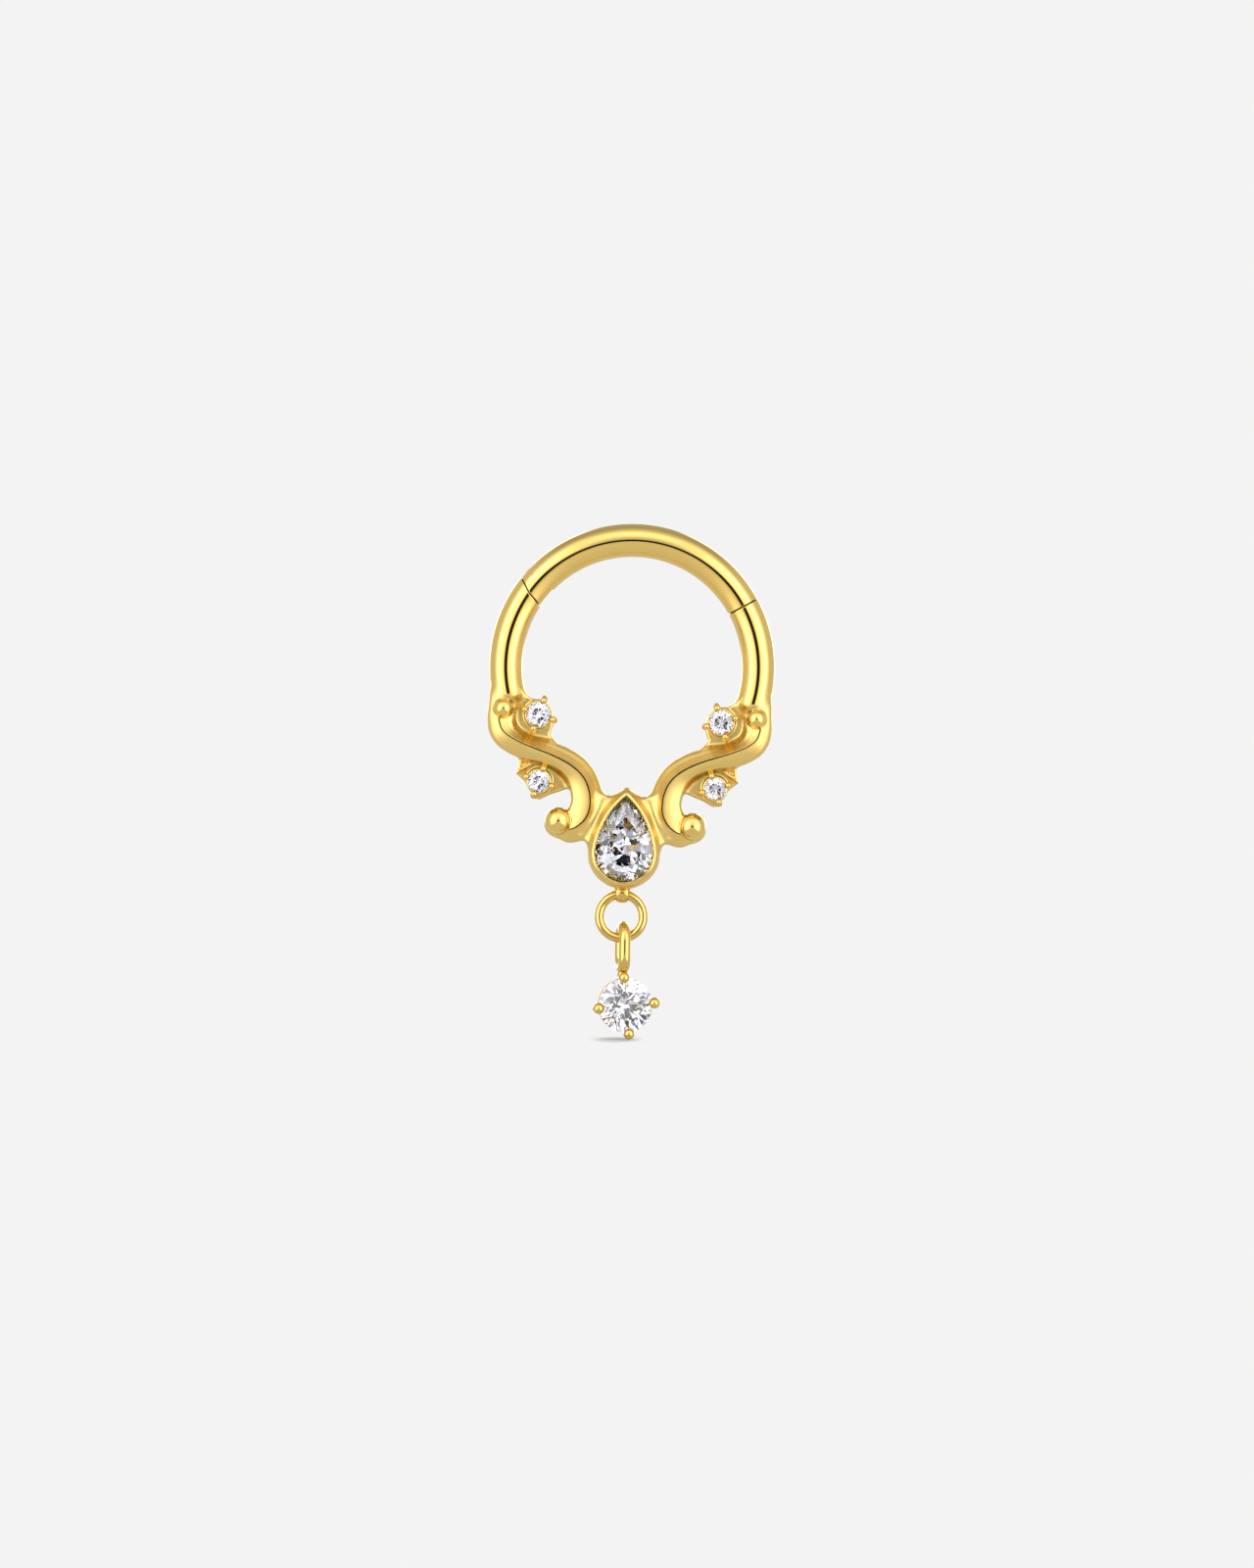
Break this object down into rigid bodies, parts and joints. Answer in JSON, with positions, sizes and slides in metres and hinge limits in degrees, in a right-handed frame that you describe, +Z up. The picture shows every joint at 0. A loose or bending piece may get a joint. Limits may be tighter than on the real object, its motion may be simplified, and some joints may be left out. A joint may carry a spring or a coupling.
{
  "type": "clicker ring",
  "caption": "Hinged-segment clicker ring with a cast scroll front, prong-set round stones, a pear stone in a bezel and a hanging round drop.",
  "frame": {"origin": "middle of the wire at the top of the ring, where it sits in the piercing", "axes": "+Z up towards the piercing seat, -Y towards the front face with the stones, +X to the right seen from the front"},
  "size_m": [0.0104, 0.0019, 0.0188],
  "materials": {
    "polished_gold": "yellow gold plate, high polish on wires and balls, fine satin on the scroll faces",
    "cubic_zirconia": "clear faceted cubic zirconia"
  },
  "bodies": {
    "frame": {"ring_frame": "polished_gold", "pear_stone": "cubic_zirconia", "round_stone_upper_left": "cubic_zirconia", "round_stone_upper_right": "cubic_zirconia", "round_stone_lower_left": "cubic_zirconia", "round_stone_lower_right": "cubic_zirconia"},
    "segment": {"hinged_segment": "polished_gold", "hinge_pin": "polished_gold"},
    "link": {"jump_ring": "polished_gold"},
    "drop": {"drop_setting": "polished_gold", "drop_stone": "cubic_zirconia"}
  },
  "joints": [
    {"name": "segment_hinge", "type": "hinge", "parent": "frame", "child": "segment", "pos_m": [-0.00368, 0, -0.00146], "axis": [0, -1, 0], "range_deg": [0, 85]},
    {"name": "link_swing", "type": "hinge", "parent": "frame", "child": "link", "pos_m": [0, 0, -0.0129], "axis": [1, 0, 0], "range_deg": [-45, 45]},
    {"name": "drop_swing", "type": "hinge", "parent": "link", "child": "drop", "pos_m": [0.00009, 0, -0.0141], "axis": [-0.1564, 0.9877, -0.0041], "range_deg": [-40, 40]}
  ]
}
